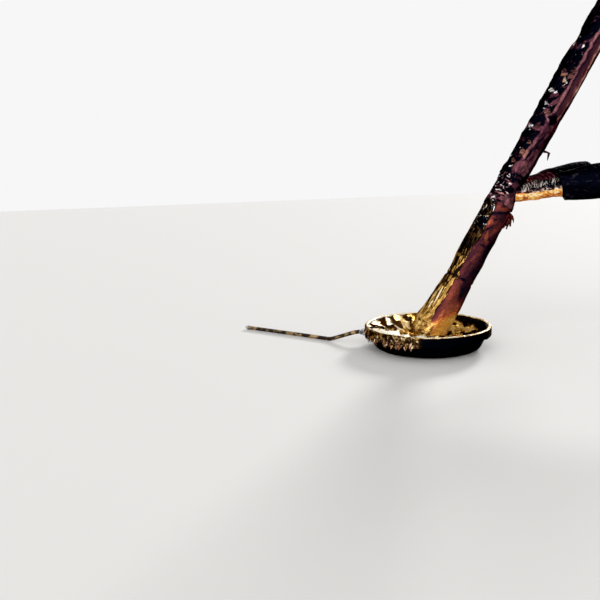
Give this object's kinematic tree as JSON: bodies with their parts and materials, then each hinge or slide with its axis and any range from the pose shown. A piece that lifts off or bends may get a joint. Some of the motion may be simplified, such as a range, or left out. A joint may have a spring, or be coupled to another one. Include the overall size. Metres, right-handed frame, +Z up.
{
  "type": "lunar lander landing leg",
  "caption": "Foil-wrapped landing leg: leaning primary strut on a dished footpad with a ball joint, secondary struts reaching inboard, and a bent contact probe beside the pad.",
  "frame": {"origin": "centre of the primary strut's upper pivot bore", "axes": "+Z up with the footpad flat on the ground, +X inboard towards the vehicle, +Y across the leg along the upper pivot's axis"},
  "size_m": [3.1457, 1.8574, 3.1028],
  "materials": {
    "bare_aluminium": "drawn tube, lightly brushed",
    "machined_aluminium": "machined and anodised",
    "pad_aluminium": "spun sheet on a honeycomb core",
    "dark_steel": "dry-film lubricated steel",
    "seat_liner": "low-friction woven liner",
    "amber_foil": "amber polyimide foil blanket",
    "gold_foil": "gold polyimide foil, crumpled",
    "black_foil": "black coated foil, crumpled"
  },
  "bodies": {
    "leg": {"ball_fitting": "bare_aluminium", "inner_cylinder": "bare_aluminium", "gland_nut": "dark_steel", "outer_cylinder": "bare_aluminium", "strut_head": "machined_aluminium", "universal_block": "dark_steel", "cross_pin": "dark_steel", "collar": "machined_aluminium", "lower_sheath": "amber_foil", "sheath_seam": "gold_foil", "collar_blanket": "black_foil", "upper_blanket": "amber_foil", "root_pin_near": "dark_steel", "rod_near": "bare_aluminium", "sleeve_nut_near": "dark_steel", "sleeve_near": "bare_aluminium", "strut_end_near": "machined_aluminium", "root_wrap_near": "gold_foil", "shroud_near": "black_foil", "root_pin_far": "dark_steel", "rod_far": "bare_aluminium", "sleeve_nut_far": "dark_steel", "sleeve_far": "bare_aluminium", "strut_end_far": "machined_aluminium", "root_wrap_far": "gold_foil", "shroud_far": "black_foil"},
    "ball_seat_ring": {"ball_seat": "seat_liner"},
    "footpad": {"footpad_pan": "pad_aluminium", "footpad_upper_skin": "pad_aluminium", "footpad_rim": "pad_aluminium", "footpad_hub": "machined_aluminium", "ball_retainer": "dark_steel", "probe_bracket": "machined_aluminium", "probe_knuckle": "dark_steel", "probe_pin": "dark_steel", "probe_mast": "bare_aluminium", "probe_tip": "machined_aluminium", "dish_foil": "gold_foil", "rim_foil": "gold_foil", "wall_foil": "black_foil", "hub_boot": "gold_foil"}
  },
  "joints": [
    {"name": "footpad_pitch", "type": "hinge", "parent": "leg", "child": "ball_seat_ring", "pos_m": [-1.82822, 0, -2.92577], "axis": [0, 1, 0], "range_deg": [-15, 15]},
    {"name": "footpad_roll", "type": "hinge", "parent": "ball_seat_ring", "child": "footpad", "pos_m": [-1.82822, 0, -2.92577], "axis": [1, 0, 0], "range_deg": [-15, 15]}
  ]
}
